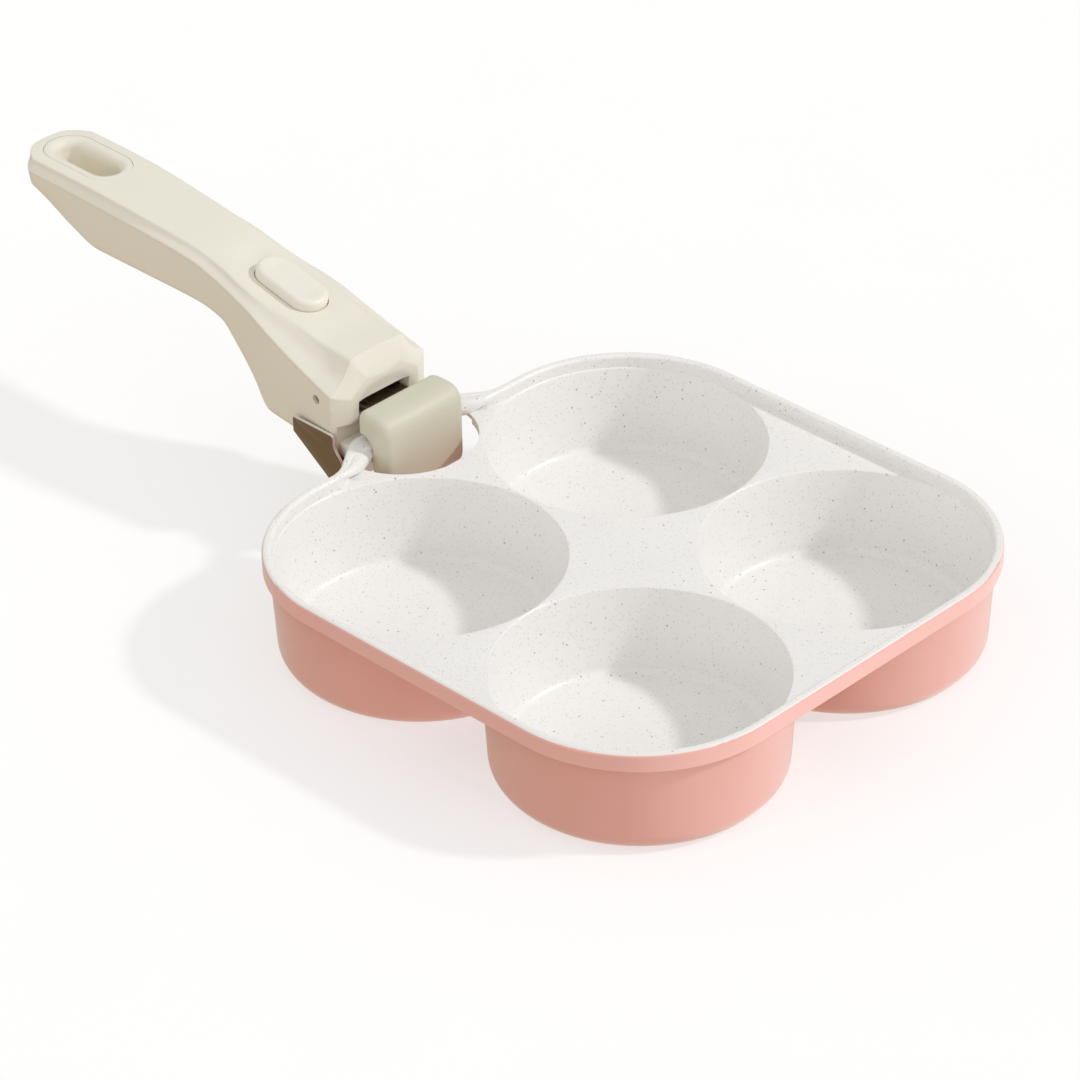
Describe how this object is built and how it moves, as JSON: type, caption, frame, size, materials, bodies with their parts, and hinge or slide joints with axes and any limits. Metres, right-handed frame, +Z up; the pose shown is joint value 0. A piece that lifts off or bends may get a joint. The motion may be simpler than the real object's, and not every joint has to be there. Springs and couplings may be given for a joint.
{
  "type": "egg pan with clamp handle",
  "caption": "Breakfast pan with round egg cups in one casting, and a detachable clamp handle that grips a bar on its rim.",
  "frame": {"origin": "on the surface that the pan stands on, under the middle of the whole object's length and width", "axes": "+X from the handle's tip towards the far side of the pan, +Y across the pan, +Z up"},
  "size_m": [0.3676, 0.19, 0.081],
  "materials": {
    "pan_coating": "ceramic coated",
    "handle_plastic": "satin",
    "button_plastic": "satin",
    "jaw_plastic": "matt",
    "inner_plastic": "matt",
    "lever_casting": "as cast",
    "bush_brass": "turned",
    "steel": "bright"
  },
  "bodies": {
    "pan": {"pan_body": "pan_coating"},
    "handle": {"grip_body": "handle_plastic", "grip_cover": "handle_plastic", "front_bracket": "steel", "bracket_screws": "steel", "cover_screws": "steel", "lever_pin": "steel", "pawl_pin": "steel", "spring_pins": "steel", "jaw_springs": "steel", "button_spring": "steel", "pawl_spring": "steel"},
    "lever": {"clamp_lever": "lever_casting", "lever_pad": "handle_plastic", "lever_rivets": "steel", "lever_bushes": "bush_brass", "crank_pin": "steel"},
    "jaw": {"jaw_tongue": "steel", "jaw_block": "jaw_plastic", "jaw_rivets": "steel"},
    "button": {"release_button": "button_plastic"},
    "pawl": {"latch_pawl": "inner_plastic"}
  },
  "joints": [
    {"name": "handle_lift", "type": "slide", "parent": "pan", "child": "handle", "axis": [0, 0, 1], "range_m": [0, 0.06]},
    {"name": "lever_pivot", "type": "hinge", "parent": "handle", "child": "lever", "pos_m": [-0.03075, 0, 0.0483], "axis": [0, -1, 0], "range_deg": [0, 25]},
    {"name": "jaw_slide", "type": "slide", "parent": "handle", "child": "jaw", "axis": [1, 0, 0], "range_m": [0, 0.00411], "deforming": ["jaw_springs"]},
    {"name": "button_press", "type": "slide", "parent": "handle", "child": "button", "axis": [-0.213, 0, -0.977], "range_m": [0, 0.002], "stiffness_N_per_m": 300, "springref_m": -0.002, "deforming": ["button_spring"]},
    {"name": "pawl_tilt", "type": "hinge", "parent": "handle", "child": "pawl", "pos_m": [-0.06771, 0, 0.06098], "axis": [0, 1, 0], "range_deg": [0, 25.1]}
  ],
  "couplings": [
    {"joint": "jaw_slide", "follows": "lever_pivot", "m_per_rad": 0.0094248},
    {"joint": "pawl_tilt", "follows": "button_press", "rad_per_m": 218.17}
  ]
}
